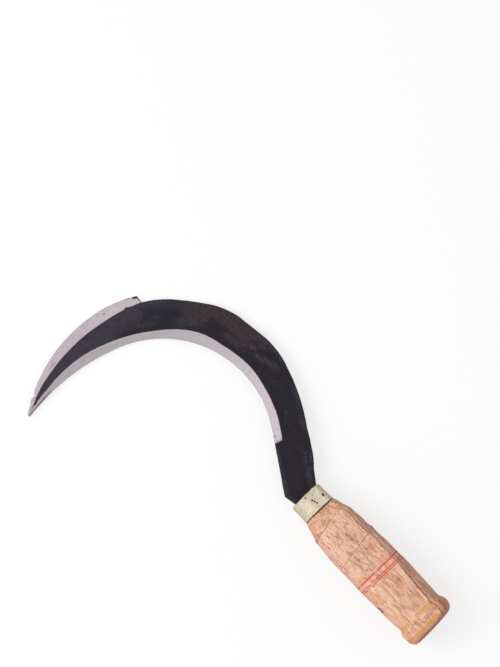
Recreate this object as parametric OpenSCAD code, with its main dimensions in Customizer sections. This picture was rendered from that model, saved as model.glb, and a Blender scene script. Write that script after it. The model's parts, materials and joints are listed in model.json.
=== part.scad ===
// Double-edged sickle: a forged hooked blade with a ground inner edge and a second ground edge
// on the back of its point, set by a tang into a turned wooden handle with a brass ferrule.
// It lies as it rests on a table: the handle on its planed underside, the blade on its far rim.
// Millimetres and degrees. +Y runs from the butt to the blade, +Z is up, the hook opens to -X.

/* [Hook] */
// Straight part of the inner edge, from the heel to the hook
neck_len = 52; // [50:0.1:70]
// Lean of that straight part away from the handle's axis
neck_lean = 33.5; // [25:0.5:40]
// Radius of the hook on its inner edge
hook_r = 83.5; // [75:0.5:100]
// Turn of the hook
hook_turn = 102.5; // [101:0.5:112]
// Radius of the flatter stretch that ends in the point
point_r = 166; // [140:1:200]
// Turn of that stretch
point_turn = 29.5; // [24:0.5:35]

/* [Blade] */
// Thickness of the blade at its root and neck
blade_t = 3; // [2.8:0.1:4]
// Thickness of the blade at its point
point_t = 1.8; // [1.2:0.1:2.4]
// Width of the blade level with its heel, across the handle
heel_w = 30.5; // [28:0.5:34]
// Width of the neck, square to the inner edge
neck_w = 26.5; // [24:0.5:29]
// Width at the top of the hook
hook_w = 31.8; // [28:0.1:36]
// Width where the second edge begins
back_w = 28.5; // [26:0.5:31]
// Width of the blunt point
point_w = 1.6; // [1:0.1:3]
// Distance from the ferrule's mouth to the heel
heel_reach = 10.3; // [7:0.1:14]
// Distance from the handle's axis to the heel
heel_side = 11.6; // [10:0.1:15]

/* [Ground edges] */
// Thickness left on the cutting edges
edge_t = 0.4; // [0.3:0.1:0.8]
// Distance from the heel to the start of the inner ground face
grind_start = 40.4; // [34:0.1:47]
// Width of the inner ground face at its start
grind_neck_w = 6.2; // [4:0.1:8]
// Width of the inner ground face where it is widest
grind_hook_w = 8.2; // [6:0.1:10]
// Turn of the hook up to the place where it is widest
grind_widest_turn = 62; // [50:1:72]
// Width of the inner ground face across from the second edge's start
grind_notch_w = 5.8; // [4:0.1:8]
// Width of the inner ground face halfway to the point
grind_point_w = 6.6; // [4:0.1:8]
// Turn of the hook up to the place where the second edge begins
second_turn = 87.5; // [80:0.5:96]
// How far the second edge stands out of the back where it begins
second_step = 5.2; // [3:0.1:7]
// Length of the slanted step from the back to the second edge
step_run = 2; // [1:0.5:4]
// Width of the second ground face at its start
second_w = 5.6; // [4:0.1:7]
// Greatest width of the second ground face
second_max_w = 8.8; // [7:0.1:10]

/* [Tang] */
// Length of the tang inside the handle
tang_len = 95; // [60:1:110]
// Thickness of the tang
tang_t = 2.5; // [2:0.1:2.7]
// Width of the tang at its shoulder
tang_w = 11; // [8:0.5:14]
// Width of the tang at its end
tang_end_w = 4; // [3:0.5:7]
// Width of the blade's root at its shoulder
root_w = 18.4; // [16:0.1:20]
// Depth of the root inside the ferrule's mouth
root_depth = 3; // [2:0.5:5]
// Clearance round the tang
tang_fit = 0.25; // [0.1:0.05:0.5]

/* [Ferrule] */
// Length of the ferrule
ferrule_len = 15.3; // [12:0.1:20]
// Outer radius of the ferrule at the handle
ferrule_r = 14.2; // [13.5:0.1:15]
// Outer radius of the ferrule at its mouth
mouth_r = 13.5; // [12.8:0.1:14]
// Wall of the ferrule
ferrule_wall = 1; // [0.6:0.1:1.2]
// Clearance between the ferrule and the wood
ferrule_fit = 0.1; // [0.05:0.05:0.2]
// Place of the brad round the ferrule, from the top towards the back of the blade
brad_turn = 45.5; // [40:0.5:60]
// Distance from the wood to the brad, along the ferrule
brad_reach = 6.2; // [4:0.1:10]
// Radius of the brad's head
brad_head_r = 1.2; // [0.9:0.1:1.6]
// Radius of the brad's shank
brad_shank_r = 0.7; // [0.5:0.1:0.8]
// Length of the brad's shank
brad_len = 8; // [5:0.5:9]
// Clearance round the brad's head and shank
brad_fit = 0.1; // [0.05:0.05:0.2]
// Depth of the brad's head below the ferrule's face
brad_sink = 0.3; // [0.1:0.1:0.4]

/* [Handle] */
// Length of the wood that shows, from the butt to the ferrule
handle_len = 122.2; // [110:0.1:140]
// How far the wood lies below the ferrule's face, where they meet
neck_step = 0.3; // [0:0.1:0.8]
// Length of the neck, from the ferrule to the shoulder
wood_neck_len = 14.5; // [10:0.5:20]
// Radius of the shoulder
shoulder_r = 18.2; // [17:0.1:19]
// Greatest radius of the grip
grip_r = 20.7; // [20:0.1:24]
// Distance from the butt to the widest place of the grip
grip_at = 57; // [50:1:65]
// Radius of the waist above the pommel bead
waist_r = 19.4; // [18.5:0.1:20]
// Length of the pommel bead
bead_len = 15.5; // [11:0.5:18]
// Radius of the pommel bead
bead_r = 21.6; // [20.5:0.1:24]
// Radius of the butt's flat end
butt_r = 17; // [14:0.5:18.5]
// Length over which the bead rounds off to the butt
butt_round = 5.5; // [3:0.5:8]
// Height of the planed front above the axis, at the shoulder
front_h = 14.3; // [13.5:0.1:17]
// Slope of the planed front, rising to the butt
front_slope = 2.5; // [0.5:0.1:3]
// How far the planed front faces round towards the back of the blade
front_turn = 7.5; // [0:0.5:12]

/* [Rest] */
// Bearing along the blade's far rim of the place where it touches the table
rest_turn = 29; // [0:1:30]
// Clearance between the ferrule and the table
table_gap = 0.3; // [0.1:0.1:1]

/* [Hidden] */
$fn = 96;

// lengths of the steps along the blade and along the handle's profile
blade_step = 3;
turned_step = 4;
// share of the neck along which the sections turn from across the handle to square to the edge
turning = 0.8;
// length over which the inner ground face comes to its full depth
grind_run = 2;
// how much of the second edge's taper is even; the rest grows towards the point
even_taper = 0.24;
// share of the width that each ground face may take near the point
ground_share = 0.45;
// power of the curve that the grip swells by; a higher one makes a fuller grip
swell_power = 2.1;
// power of the curve that the bead falls by; a higher one keeps the bead full for longer
bead_power = 1.8;
// more than the whole sickle, for the cuts
beyond = 400;

// landmarks along the inner edge, measured from the heel
hook_start = neck_len;
hook_end = hook_start + hook_r * hook_turn * PI / 180;
edge_end = hook_end + point_r * point_turn * PI / 180;
hook_top = (hook_start + hook_end) / 2;
grind_widest = hook_start + hook_r * grind_widest_turn * PI / 180;
second_start = hook_start + hook_r * second_turn * PI / 180;
second_full = second_start + step_run;
grind_full = grind_start + grind_run;
square_from = turning * neck_len;

// landmarks along the handle's axis, measured from the butt
mouth_y = handle_len + ferrule_len;
root_y = mouth_y - root_depth;
shoulder_y = handle_len - wood_neck_len;
brad_y = handle_len + brad_reach;

// a smooth curve through knots [place, value], with the slope of its neighbours at each
function knot_slope(k, i) =
    let (a = max(i - 1, 0), b = min(i + 1, len(k) - 1))
    (k[b].y - k[a].y) / (k[b].x - k[a].x);
function through(k, s, i = 0) =
    s <= k[0].x ? k[0].y
    : i > len(k) - 2 ? k[len(k) - 1].y
    : s > k[i + 1].x ? through(k, s, i + 1)
    : let (d = k[i + 1].x - k[i].x, t = (s - k[i].x) / d)
      (2 * t^3 - 3 * t^2 + 1) * k[i].y + (t^3 - 2 * t^2 + t) * d * knot_slope(k, i)
      + (3 * t^2 - 2 * t^3) * k[i + 1].y + (t^3 - t^2) * d * knot_slope(k, i + 1);

// the inner edge: a straight neck and two arcs, each starting where the last one ends
heel = [-heel_side, mouth_y + heel_reach];
function arc_from(p, h, r, turn) =
    [p.x + r * (sin(h + turn) - sin(h)), p.y - r * (cos(h + turn) - cos(h))];
neck_heading = 90 - neck_lean;
hook_p = heel + neck_len * [cos(neck_heading), sin(neck_heading)];
point_p = arc_from(hook_p, neck_heading, hook_r, hook_turn);
function heading(s) =
    s <= hook_start ? neck_heading
    : s <= hook_end ? neck_heading + (s - hook_start) / hook_r * 180 / PI
    : neck_heading + hook_turn + (s - hook_end) / point_r * 180 / PI;
function edge_at(s) =
    s <= hook_start ? heel + s * [cos(neck_heading), sin(neck_heading)]
    : s <= hook_end ? arc_from(hook_p, neck_heading, hook_r, heading(s) - neck_heading)
    : arc_from(point_p, neck_heading + hook_turn, point_r, heading(s) - neck_heading - hook_turn);

// the way across the blade: along X at the heel, and square to the edge further on
function across(s) =
    let (a = (heading(s) - 90) * min(1, s / square_from)) [cos(a), sin(a)];

// widths across the blade
neck_knots = [[0, heel_w], [square_from, neck_w], [hook_start + (hook_top - hook_start) / 8, neck_w],
              [hook_top, hook_w], [second_start, back_w]];
second_top_w = back_w + second_step;
function past_second(s) = (s - second_full) / (edge_end - second_full);
function width(s) =
    s < second_full ? through(neck_knots, s)
    : let (x = past_second(s))
      second_top_w - (second_top_w - point_w) * (even_taper * x + (1 - even_taper) * x^2);

// widths of the two ground faces; both run out together at the point
end_grind = ground_share * point_w;
grind_knots = [[grind_start, grind_neck_w], [(hook_start + grind_widest) / 2, grind_neck_w],
               [grind_widest, grind_hook_w], [second_start, grind_notch_w],
               [(hook_end + edge_end) / 2, grind_point_w], [edge_end, end_grind]];
second_knots = [[second_full, second_w], [second_full + (edge_end - second_full) / 4, second_max_w],
                [edge_end, end_grind]];
function inner_grind(s) = min(through(grind_knots, s), ground_share * width(s));
function second_grind(s) =
    s < second_full ? max(edge_t, second_w - second_step)
    : min(through(second_knots, s), ground_share * width(s));

function thickness(s) = blade_t + (point_t - blade_t) * max(0, s - hook_start) / (edge_end - hook_start);
function inner_t(s) = s < grind_full ? thickness(s) : edge_t;
function outer_t(s) = s < second_full ? thickness(s) : edge_t;

// one section of the blade: p and d place it, w is its width, t its thickness, g and h the
// widths of the ground faces, and gt and ht the thickness left at their edges
underside = -blade_t / 2;
function section(p, d, w, t, g, h, gt, ht, foot = underside) = [
    for (c = [[0, 0], [w, 0], [w, ht], [w - h, t], [g, t], [0, gt]])
        [p.x + c.x * d.x, p.y + c.x * d.y, foot + c.y]];
function plain(y, w, t) = section([-w / 2, y], [1, 0], w, t, w / 3, w / 3, t, t, -t / 2);
function blade_section(s) =
    section(edge_at(s), across(s), width(s), thickness(s), inner_grind(s), second_grind(s),
            inner_t(s), outer_t(s));

// stations along the edge: even steps between the places where something changes
marks = [0, grind_start, grind_full, hook_start, second_start, second_full, hook_end, edge_end];
function steps(a, b) = b - a <= max(step_run, grind_run) ? 1 : ceil((b - a) / blade_step);
stations = [for (i = [0 : len(marks) - 2])
                let (a = marks[i], b = marks[i + 1], n = steps(a, b))
                    for (j = [0 : n - 1]) a + (b - a) * j / n,
            edge_end];
sections = concat(
    [plain(root_y - tang_len, tang_end_w, tang_t), plain(root_y, tang_w, tang_t),
     plain(root_y, root_w, blade_t)],
    [for (s = stations) blade_section(s)]);
blade_points = [for (r = sections) for (p = r) p];
corners = len(sections[0]);
last = len(sections) - 1;
blade_faces = concat(
    [for (j = [1 : corners - 2]) [0, j + 1, j]],
    [for (i = [0 : last - 1], j = [0 : corners - 1], half = [0, 1])
        let (k = (j + 1) % corners, a = i * corners, b = a + corners)
            half == 0 ? [a + j, b + k, b + j] : [a + j, a + k, b + k]],
    [for (j = [1 : corners - 2]) [last * corners, last * corners + j, last * corners + j + 1]]);

// the rest: the plane that the blade's far rim and the ferrule's underside stand on
rest_way = [sin(rest_turn), cos(rest_turn)];
function reach(p) = rest_way.x * p.x + rest_way.y * p.y;
blade_reach = max([for (p = blade_points) reach(p)]);
function slope_under(y, r) = (r + table_gap + underside) / (blade_reach - reach([0, y]));
rest_tilt = atan(max(slope_under(handle_len, ferrule_r), slope_under(mouth_y, mouth_r)));
function laid(p) =
    let (a = reach(p), forward = a * cos(rest_tilt) + p.z * sin(rest_tilt) - a)
    [p.x + forward * rest_way.x, p.y + forward * rest_way.y, p.z * cos(rest_tilt) - a * sin(rest_tilt)];
laid_blade = [for (p = blade_points) laid(p)];
lowest = min([for (p = laid_blade) p.z]);
mid_x = (min([for (p = laid_blade) p.x]) + max([for (p = laid_blade) p.x])) / 2;
mid_y = (laid([0, 0, -butt_r]).y + max([for (p = laid_blade) p.y])) / 2;

// puts the tool, which is drawn along the Y axis, where it rests on the table
module rest() {
    translate([-mid_x, -mid_y, -lowest])
        rotate([0, 0, -rest_turn]) rotate([-rest_tilt, 0, 0]) rotate([0, 0, rest_turn])
            children();
}

// turns a profile of [radius, y] points round the Y axis
module turned(profile) {
    rotate([-90, 0, 0]) rotate_extrude() polygon(profile);
}

// puts a cylinder's foot on the axis at the brad, pointing out through the ferrule
module at_brad() {
    translate([0, brad_y, 0]) rotate([0, brad_turn, 0]) children();
}

// radius of the ferrule's outside
function ferrule_out(y) = ferrule_r + (mouth_r - ferrule_r) * (y - handle_len) / ferrule_len;
function tenon_r(y) = ferrule_out(y) - ferrule_wall - ferrule_fit;

module blade() {
    color("#3a3539") rest() polyhedron(blade_points, blade_faces);
}

module ferrule() {
    bevel = ferrule_wall / 3;
    color("#cfc3a2") rest() difference() {
        turned([[ferrule_r - ferrule_wall, handle_len], [ferrule_r - bevel, handle_len],
                [ferrule_out(handle_len + bevel), handle_len + bevel],
                [ferrule_out(mouth_y - bevel), mouth_y - bevel],
                [mouth_r - bevel, mouth_y], [mouth_r - ferrule_wall, mouth_y]]);
        at_brad() cylinder(r = brad_head_r + brad_fit, h = ferrule_r * 2);
    }
}

// the brad: a flat head in the ferrule's hole, standing on the wood, and its shank below
head_foot = tenon_r(brad_y);
head_top = ferrule_out(brad_y) - brad_sink;
module ferrule_brad() {
    color("#6e4436") rest() at_brad() {
        translate([0, 0, head_foot]) cylinder(r = brad_head_r, h = head_top - head_foot);
        translate([0, 0, head_foot - brad_len]) cylinder(r = brad_shank_r, h = brad_len);
    }
}

// profile of the wood: rounded butt, pommel bead, waist, swelling grip, neck and tenon
function bead(y) =
    y < butt_round ? bead_r - (bead_r - butt_r) * (1 - sqrt(1 - (1 - y / butt_round)^2))
    : waist_r + (bead_r - waist_r)
        * (1 + cos(180 * ((y - butt_round) / (bead_len - butt_round))^bead_power)) / 2;
function grip(y) =
    y < grip_at ? grip_r - (grip_r - waist_r) * ((grip_at - y) / (grip_at - bead_len))^swell_power
    : grip_r - (grip_r - shoulder_r) * ((y - grip_at) / (shoulder_y - grip_at))^swell_power;
bead_n = 10;
bead_crowding = 1.3;
grip_n = ceil((shoulder_y - bead_len) / turned_step);
wood_profile = concat(
    [[0, 0]],
    [for (i = [0 : bead_n]) let (y = bead_len * (i / bead_n)^bead_crowding) [bead(y), y]],
    [for (i = [1 : grip_n]) let (y = bead_len + (shoulder_y - bead_len) * i / grip_n) [grip(y), y]],
    [[ferrule_r - neck_step, handle_len], [tenon_r(handle_len), handle_len], [tenon_r(root_y), root_y],
     [0, root_y]]);

// what the plane takes off the wood: all that lies below the table, and above the flat front
module below_table() {
    rotate([0, 0, -rest_turn]) rotate([rest_tilt, 0, 0]) rotate([0, 0, rest_turn])
        translate([mid_x - beyond / 2, mid_y - beyond / 2, lowest - beyond]) cube(beyond);
}
module above_front() {
    rotate([0, front_turn, 0]) translate([0, shoulder_y, front_h]) rotate([-front_slope, 0, 0])
        translate([-beyond / 2, -beyond / 2, 0]) cube(beyond);
}

module tang_slot() {
    end_w = tang_end_w / 2 + tang_fit;
    top_w = tang_w / 2 + tang_fit;
    end_y = root_y - tang_len - tang_fit;
    linear_extrude(tang_t + 2 * tang_fit, center = true)
        polygon([[-end_w, end_y], [end_w, end_y], [top_w, root_y], [top_w, mouth_y],
                 [-top_w, mouth_y], [-top_w, root_y]]);
}

module handle() {
    color("#c99a80") rest() difference() {
        turned(wood_profile);
        below_table();
        above_front();
        tang_slot();
        at_brad() translate([0, 0, head_foot - brad_len - brad_fit])
            cylinder(r = brad_shank_r + brad_fit, h = brad_len + ferrule_r);
    }
}

blade();
ferrule();
ferrule_brad();
handle();
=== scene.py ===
"""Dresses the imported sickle: hammered and ground steel, worn brass, old turned wood, on a plain white floor.

The shapes are written in millimetres in the tool's own frame: its origin is the middle of the butt, +Y runs
along the handle to the blade and +Z is up from the ground faces. Every point is turned from there to where
it rests.
"""
import json
from math import asin, cos, pi, radians, sin

import bmesh
import bpy
import numpy as np
from mathutils import Matrix, Vector


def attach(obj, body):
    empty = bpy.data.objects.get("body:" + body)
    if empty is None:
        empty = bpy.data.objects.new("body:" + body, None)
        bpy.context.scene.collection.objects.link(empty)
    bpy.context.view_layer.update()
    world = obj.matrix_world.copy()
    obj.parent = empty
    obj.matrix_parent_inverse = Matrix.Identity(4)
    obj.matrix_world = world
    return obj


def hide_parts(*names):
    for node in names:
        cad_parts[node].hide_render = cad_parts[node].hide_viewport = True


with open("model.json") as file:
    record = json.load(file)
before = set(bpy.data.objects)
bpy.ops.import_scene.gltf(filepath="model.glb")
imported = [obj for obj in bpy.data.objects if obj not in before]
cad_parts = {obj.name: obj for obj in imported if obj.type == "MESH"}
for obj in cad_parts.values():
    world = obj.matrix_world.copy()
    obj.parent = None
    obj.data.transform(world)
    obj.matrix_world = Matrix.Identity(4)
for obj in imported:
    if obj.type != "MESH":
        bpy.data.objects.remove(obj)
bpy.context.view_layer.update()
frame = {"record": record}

MM = 0.001
mounts = {mount["name"]: mount for mount in frame["record"]["mounts"]}

# how the tool rests: the butt's middle and the handle's axis are the butt mount's, turned about a level line
REST_TURN = radians(29)
butt = np.array(mounts["butt_face"]["pos_m"])
rest_tilt = asin(mounts["butt_face"]["axis"][2] / cos(REST_TURN))
rest = np.array(Matrix.Rotation(-REST_TURN, 3, "Z") @ Matrix.Rotation(-rest_tilt, 3, "X")
                @ Matrix.Rotation(REST_TURN, 3, "Z"))

# how far a point's height moves it, as seen from straight above, along the tool's own X and Y
LEAN_X = float(rest[:2, 2] @ rest[:2, 0])
LEAN_Y = float(rest[:2, 2] @ rest[:2, 1])

# random values for the noise, the same in each run
TABLE = np.random.default_rng(11).uniform(-1, 1, (256, 256))


def to_world(points):
    """Points of the tool's frame, in millimetres, as places in metres where the sickle rests."""
    return np.asarray(points, float) * MM @ rest.T + butt


def noise(x, y, seed):
    """Smooth noise from -1 to 1, with about one bump to each unit of x and y."""
    i = np.floor(x).astype(int)
    j = np.floor(y).astype(int)
    u = x - i
    v = y - j
    u = u * u * (3 - 2 * u)
    v = v * v * (3 - 2 * v)
    i = i + 37 * seed
    j = j + 91 * seed
    low = TABLE[i % 256, j % 256] * (1 - u) + TABLE[(i + 1) % 256, j % 256] * u
    high = TABLE[i % 256, (j + 1) % 256] * (1 - u) + TABLE[(i + 1) % 256, (j + 1) % 256] * u
    return low * (1 - v) + high * v


def layered(x, y, seed):
    """Noise in three layers, each twice as fine and half as strong as the last."""
    return sum(noise(x * 2**n, y * 2**n, seed + n) / 2**n for n in range(3))


def rise(x, low, high):
    """0 below low, 1 above high, and even between them."""
    return np.clip((x - low) / (high - low), 0, 1)


def ramp(x, low, high):
    """0 below low, 1 above high, and smooth between them."""
    t = rise(x, low, high)
    return t * t * (3 - 2 * t)


def peak(x, middle, half):
    """1 at the middle, and falling away on both sides over a half width."""
    return np.exp(-((x - middle) / half)**2)


def lower(a, b, rounding):
    """The lower of two surfaces, with the corner between them rounded."""
    share = np.clip(0.5 + 0.5 * (b - a) / rounding, 0, 1)
    return b * (1 - share) + a * share - rounding * share * (1 - share)


def spots(x, y, places):
    """Soft spots, each (x, y, half length, half width, strength), where the strongest counts."""
    shown = np.zeros(np.broadcast(x, y).shape)
    for px, py, length, width, strength in places:
        far = ((x - px) / length)**2 + ((y - py) / width)**2
        shown = np.maximum(shown, strength * np.exp(-far))
    return shown


def smooth_through(x, knots):
    """A smooth curve through knots (place, value), with the slope of its neighbours at each."""
    places, values = (np.array(column, float) for column in zip(*knots))
    before = np.clip(np.arange(len(places)) - 1, 0, None)
    after = np.clip(np.arange(len(places)) + 1, None, len(places) - 1)
    slopes = (values[after] - values[before]) / (places[after] - places[before])
    x = np.clip(x, places[0], places[-1])
    i = np.clip(np.searchsorted(places, x, side="right") - 1, 0, len(places) - 2)
    gap = places[i + 1] - places[i]
    t = (x - places[i]) / gap
    return ((2 * t**3 - 3 * t**2 + 1) * values[i] + (t**3 - 2 * t**2 + t) * gap * slopes[i]
            + (3 * t**2 - 2 * t**3) * values[i + 1] + (t**3 - t**2) * gap * slopes[i + 1])


def stepped(*stretches):
    """Places along a line, from stretches (start, end, step), and the last end."""
    parts = [np.linspace(a, b, max(2, round((b - a) / step) + 1))[:-1] for a, b, step in stretches]
    return np.concatenate([*parts, [stretches[-1][1]]])


# Meshes

def in_scene(name, data):
    """Puts a mesh, a lamp or a camera into the scene."""
    made = bpy.data.objects.new(name, data)
    bpy.context.scene.collection.objects.link(made)
    return made


def meshed(name, points, faces):
    """A mesh in the scene, from points of the tool's frame."""
    mesh = bpy.data.meshes.new(name)
    mesh.from_pydata(to_world(points).tolist(), [], faces)
    return in_scene(name, mesh)


def ringed(name, rings, marks, tube=False):
    """A piece from rings of points, each joined to the next.

    A tube's last ring is joined to its first. Any other piece has a flat face at both ends. The marks are
    values kept at the mesh's points for its material: numbers, or places in millimetres.
    """
    rows, cols = rings.shape[:2]
    at = np.arange(rows * cols).reshape(rows, cols)
    right = np.roll(at, -1, axis=1)
    if tube:
        quads = np.stack([at, np.roll(at, -1, axis=0), np.roll(right, -1, axis=0), right], -1)
        faces = quads.reshape(-1, 4).tolist()
    else:
        quads = np.stack([at[:-1], right[:-1], right[1:], at[1:]], -1)
        faces = quads.reshape(-1, 4).tolist() + [at[0][::-1].tolist(), at[-1].tolist()]
    piece = meshed(name, rings.reshape(-1, 3), faces)
    for mark, values in {"place": rings, **marks}.items():
        values = np.asarray(values, np.float32)
        kind, field = ("FLOAT_VECTOR", "vector") if values.ndim == 3 else ("FLOAT", "value")
        piece.data.attributes.new(mark, kind, "POINT").data.foreach_set(field, values.ravel())
    piece.data.shade_smooth()
    return piece


def dress(piece, node, finish):
    """Gives a piece its finish, and lets it stand for its CAD node and ride with it."""
    piece.data.materials.append(finish)
    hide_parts(node)
    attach(piece, "root")


def cut(piece, *tools):
    """Takes closed meshes out of a piece and removes them."""
    for tool in tools:
        boolean = piece.modifiers.new("cut", "BOOLEAN")
        boolean.object = tool
        boolean.solver = "EXACT"
    bpy.context.view_layer.update()
    seen = piece.evaluated_get(bpy.context.evaluated_depsgraph_get())
    mesh = bpy.data.meshes.new_from_object(seen)
    piece.modifiers.clear()
    piece.data = mesh
    for tool in tools:
        bpy.data.objects.remove(tool)


# The blade's plan: a straight neck and two arcs along the inner edge, as in the construction.
# Places along it count from a corner that the chamfered heel cuts off at EDGE_START. From SQUARE_FROM on
# the rows of points cross it squarely. Past the step the blade narrows, in part evenly, to its point.
# A ground face is at least so wide, and the inner one at most so large a share of the blade's width.

NECK_LEN = 53.6
NECK_HEADING = radians(90 - 33.5)
HOOK_R = 83.5
POINT_R = 166
HOOK_END = NECK_LEN + HOOK_R * radians(102.5)
EDGE_END = HOOK_END + POINT_R * radians(29.5)
EDGE_START = 1.6
HEEL = (-12.5, 146.5)
SQUARE_FROM = 43.2
SECOND_START = NECK_LEN + HOOK_R * radians(87.5)
SECOND_FULL = SECOND_START + 2
BACK_W = 28.5
STEP_W = 5.2
POINT_W = 1.6
EVEN_SHARE = 0.24
BLADE_T = 3
POINT_T = 1.8
EDGE_T = 0.4
UNDERSIDE = -BLADE_T / 2
GRIND_START = 42
GRIND_SLANT = 1.9
LEAST_GRIND = 0.9
MOST_GRIND = 0.7

# The other pieces' sizes, as in the construction

ROOT_Y = 134.5
ROOT_W = 18.4
TANG_END_Y = 39.5
TANG_END_W = 4
TANG_W = 11
TANG_T = 2.5
TANG_FIT = 0.25
HANDLE_LEN = 122.2
FERRULE_LEN = 15.3
MOUTH_Y = HANDLE_LEN + FERRULE_LEN
FERRULE_R = 14.2
MOUTH_R = 13.5
FERRULE_WALL = 1
BRAD_TURN = radians(45.5)
BRAD_Y = HANDLE_LEN + 6.2
BRAD_FACE_R = FERRULE_R - 0.35
BRAD_HEAD_R = 1.2
BRAD_SHANK_R = 0.7
BRAD_LEN = 8
BRAD_SINK = 0.3
BRAD_FIT = 0.1

# width before the second edge, and where hammering and grinding left the back a little off its curve
WIDTH_KNOTS = [(EDGE_START, 30.5), (SQUARE_FROM, 26.5), (62.9, 26.5), (128.3, 31.8), (SECOND_START, BACK_W)]
BACK_FACETS = [(8, 40, -0.35), (62, 86, -0.3), (86, 107, 0.5), (107, 126.5, -0.75), (126.5, 141, 0.35),
               (141, 164, -0.75), (164, 180, 0.2)]
# where the two ground faces end on the flats, both measured from the inner edge
INNER_BORDER = [(40, 6.1), (60, 6.25), (80, 6), (100, 6.9), (125, 6.9), (141, 8.35), (152, 8.1), (160, 7.4),
                (175, 6), (195, 5.8), (220, 7), (230, 7.1), (245, 6.2), (260, 4.8), (275, 3.7), (288, 1.5)]
OUTER_BORDER = [(176, 28.9), (180.5, 28.5), (185, 27.3), (190, 26.1), (195, 24.6), (205, 22.3), (220, 19.6),
                (235, 16.2), (250, 12.6), (265, 8.7), (275, 5.4), (281, 3.2), (288, 0.8)]


def heading(s):
    """The inner edge's direction at a place along it."""
    return (NECK_HEADING + np.clip(s - NECK_LEN, 0, HOOK_END - NECK_LEN) / HOOK_R
            + np.clip(s - HOOK_END, 0, None) / POINT_R)


def edge_at(s):
    """Where the inner edge runs at a place along it."""
    straight = np.clip(s, None, NECK_LEN)
    hook = heading(np.minimum(s, HOOK_END))
    end = heading(s)
    x = (HEEL[0] + straight * cos(NECK_HEADING) + HOOK_R * (np.sin(hook) - sin(NECK_HEADING))
         + POINT_R * (np.sin(end) - np.sin(hook)))
    y = (HEEL[1] + straight * sin(NECK_HEADING) - HOOK_R * (np.cos(hook) - cos(NECK_HEADING))
         - POINT_R * (np.cos(end) - np.cos(hook)))
    return x, y


def across(s):
    """The way from the inner edge to the back: along X at the heel, and square to the edge further on."""
    angle = (heading(s) - pi / 2) * rise(s, EDGE_START, SQUARE_FROM)
    return np.cos(angle), np.sin(angle)


def width(s):
    """The blade's width: up to the step along its hammered back, and then to the point."""
    before = smooth_through(s, WIDTH_KNOTS)
    for start, end, bulge in BACK_FACETS:
        t = rise(s, start, end)
        before = before + bulge * 4 * t * (1 - t)
    x = rise(s, SECOND_FULL, EDGE_END)
    top = BACK_W + STEP_W
    after = top - (top - POINT_W) * (EVEN_SHARE * x + (1 - EVEN_SHARE) * x**2)
    step = rise(s, SECOND_START, SECOND_FULL)
    return np.where(s < SECOND_FULL, before + STEP_W * step, after)


def thickness(s):
    """The blade's thickness, which falls from the neck's end to the point."""
    return BLADE_T + (POINT_T - BLADE_T) * rise(s, NECK_LEN, EDGE_END)


def inner_grind(s):
    """How wide the inner ground face is."""
    return np.minimum(smooth_through(s, INNER_BORDER), MOST_GRIND * width(s))


def outer_grind(s):
    """How wide the second edge's ground face is."""
    return np.maximum(width(s) - smooth_through(s, OUTER_BORDER), LEAST_GRIND)


# Finishes

class Nodes:
    """The nodes of a material or of the world, with a short call for each kind that is used."""

    def __init__(self, owner):
        owner.use_nodes = True
        self.tree = owner.node_tree

    def node(self, kind, inputs=(), **settings):
        """A new node with its settings, and with inputs linked or set."""
        made = self.tree.nodes.new(kind)
        for name, value in settings.items():
            setattr(made, name, value)
        for socket, value in dict(inputs).items():
            self.put(made.inputs[socket], value)
        return made

    def put(self, socket, value):
        """Links a socket to another node's output, or sets its own value."""
        if isinstance(value, bpy.types.NodeSocket):
            self.tree.links.new(value, socket)
        elif socket.type == "RGBA":
            socket.default_value = (*value, 1)
        else:
            socket.default_value = value

    def math(self, kind, a, b=0):
        return self.node("ShaderNodeMath", {0: a, 1: b}, operation=kind).outputs[0]

    def times(self, a, b):
        return self.math("MULTIPLY", a, b)

    def plus(self, a, b):
        return self.math("ADD", a, b)

    def seen_directly(self):
        """1 for what the camera, a mirror or glass sees, and 0 where a surface only gathers light."""
        rays = self.node("ShaderNodeLightPath").outputs
        either = self.math("MAXIMUM", rays["Is Camera Ray"], rays["Is Glossy Ray"])
        return self.math("MAXIMUM", either, rays["Is Transmission Ray"])


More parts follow.
